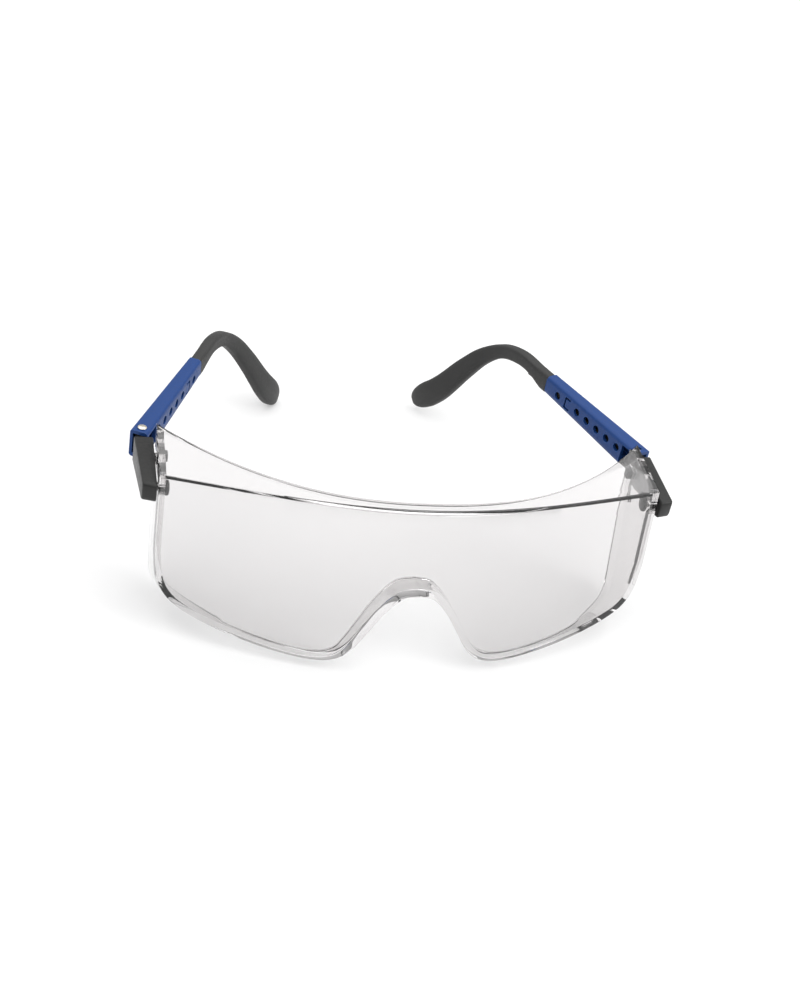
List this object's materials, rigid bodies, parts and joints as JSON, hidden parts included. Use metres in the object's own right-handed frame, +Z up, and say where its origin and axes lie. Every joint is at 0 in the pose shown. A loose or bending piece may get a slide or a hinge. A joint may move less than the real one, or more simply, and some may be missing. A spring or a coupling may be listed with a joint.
{
  "type": "safety goggles",
  "caption": "One-piece clear wrap-around eye shield with side guards, worn over glasses; temples fold, tilt and adjust in length, with curved ear hooks.",
  "frame": {"origin": "centre of the bounding box, on the surface that the lens's lower rim and the ear hooks' tips rest on", "axes": "+X to the wearer's left, +Y backwards from the lens to the ear hooks, +Z up"},
  "size_m": [0.1652, 0.1366, 0.054],
  "materials": {
    "clear_polycarbonate": "polished clear moulding",
    "black_nylon": "fine spark-eroded matt",
    "blue_nylon": "satin",
    "charcoal_elastomer": "soft matt",
    "plated_steel": "bright plated"
  },
  "bodies": {
    "lens": {"lens": "clear_polycarbonate"},
    "right_block": {"hinge_block_right": "black_nylon", "pivot_pin_right": "black_nylon"},
    "right_temple": {"temple_sleeve_right": "blue_nylon", "hinge_screw_right": "plated_steel"},
    "right_arm": {"temple_slider_right": "black_nylon", "ear_hook_right": "charcoal_elastomer"},
    "left_block": {"hinge_block_left": "black_nylon", "pivot_pin_left": "black_nylon"},
    "left_temple": {"temple_sleeve_left": "blue_nylon", "hinge_screw_left": "plated_steel"},
    "left_arm": {"temple_slider_left": "black_nylon", "ear_hook_left": "charcoal_elastomer"}
  },
  "joints": [
    {"name": "right_tilt", "type": "hinge", "parent": "lens", "child": "right_block", "pos_m": [0.076, -0.0377, 0.04281], "axis": [-1, 0, 0], "range_deg": [0, 24]},
    {"name": "right_fold", "type": "hinge", "parent": "right_block", "child": "right_temple", "pos_m": [0.07905, -0.01292, 0.04173], "axis": [0, 0.0436, 0.999], "range_deg": [-18, 65]},
    {"name": "right_slide", "type": "slide", "parent": "right_temple", "child": "right_arm", "axis": [-0.4035, 0.9141, -0.0399], "range_m": [0, 0.01575]},
    {"name": "left_tilt", "type": "hinge", "parent": "lens", "child": "left_block", "pos_m": [-0.076, -0.0377, 0.04281], "axis": [-1, 0, 0], "range_deg": [0, 24]},
    {"name": "left_fold", "type": "hinge", "parent": "left_block", "child": "left_temple", "pos_m": [-0.07905, -0.01295, 0.0413], "axis": [0, -0.061, -0.9981], "range_deg": [-18, 57]},
    {"name": "left_slide", "type": "slide", "parent": "left_temple", "child": "left_arm", "axis": [0.4035, 0.9133, -0.0559], "range_m": [0, 0.01575]}
  ]
}
